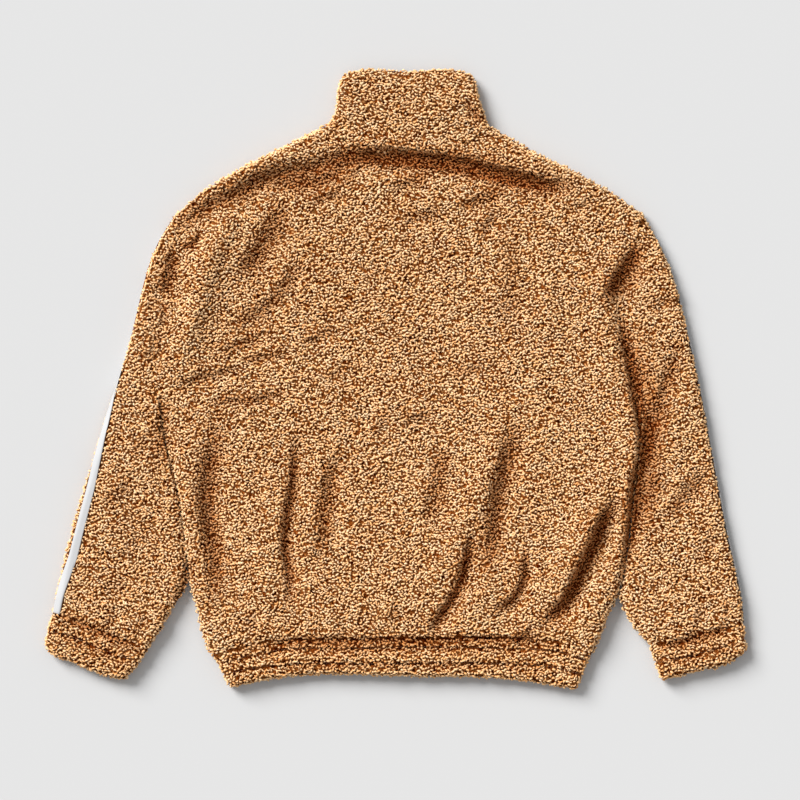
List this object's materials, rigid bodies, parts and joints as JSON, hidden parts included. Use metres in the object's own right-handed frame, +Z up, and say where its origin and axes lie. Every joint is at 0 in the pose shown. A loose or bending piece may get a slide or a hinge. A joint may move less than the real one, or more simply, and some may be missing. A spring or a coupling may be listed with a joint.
{
  "type": "track jacket laid flat",
  "caption": "Zipped track jacket in looped fleece with a stand collar and gathered hem and cuffs, laid flat on its front with its back up.",
  "frame": {"origin": "on the surface that the jacket lies on, under the middle of the ground it covers", "axes": "+X from the wearer's left sleeve to the right one, +Y from the hem to the collar, +Z up out of the back panel"},
  "size_m": [0.842, 0.7428, 0.0266],
  "materials": {
    "looped_fleece": "looped pile in cream, tan and brown yarns",
    "band_fleece": "the same pile, gathered and darker",
    "woven_stripe": "plain cool white woven tape",
    "zip_tape": "woven tape with moulded teeth",
    "zip_metal": "satin plated"
  },
  "bodies": {
    "jacket": {"back": "looped_fleece", "front_left": "looped_fleece", "front_right": "looped_fleece", "sleeve_left": "looped_fleece", "sleeve_right": "looped_fleece", "collar": "looped_fleece", "hem_band": "band_fleece", "cuff_left": "band_fleece", "cuff_right": "band_fleece", "stripe_left": "woven_stripe", "stripe_right": "woven_stripe", "zip_chain": "zip_tape", "zip_slider": "zip_metal"},
    "pull": {"zip_pull": "zip_metal"}
  },
  "joints": [
    {"name": "pull_swing", "type": "hinge", "parent": "jacket", "child": "pull", "pos_m": [0.01, 0.35216, 0.00135], "axis": [1, 0, 0], "range_deg": [0, 170]}
  ]
}
